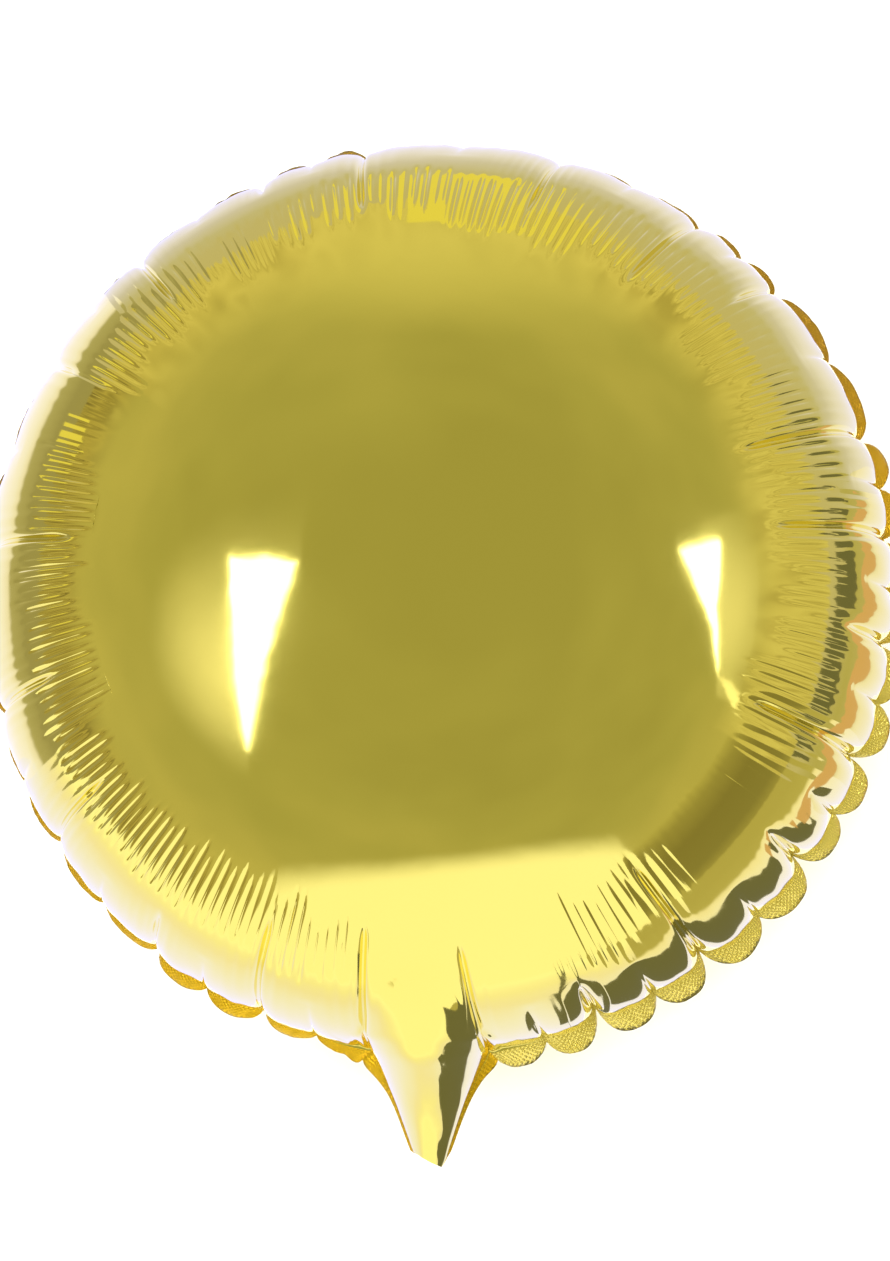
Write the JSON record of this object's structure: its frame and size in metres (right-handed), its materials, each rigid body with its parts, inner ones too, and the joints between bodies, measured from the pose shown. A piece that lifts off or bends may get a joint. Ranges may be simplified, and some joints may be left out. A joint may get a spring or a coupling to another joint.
{
  "type": "round foil balloon",
  "caption": "Inflated round balloon of gold metallised film, its rim gathered into puffed lobes and creases, with a ruffled weld band and a tapering neck, lying on its back.",
  "frame": {"origin": "centre of the small flat spot on the back, on which the balloon lies", "axes": "+Z out of the front face, -Y along the neck, +X to the right as the front is seen with the neck down"},
  "size_m": [0.3446, 0.3796, 0.2031],
  "materials": {
    "gold_foil": "vacuum-metallised film under gold lacquer, mirror bright; the weld band is knurled"
  },
  "bodies": {
    "root": {"balloon_envelope": "gold_foil"}
  },
  "joints": []
}
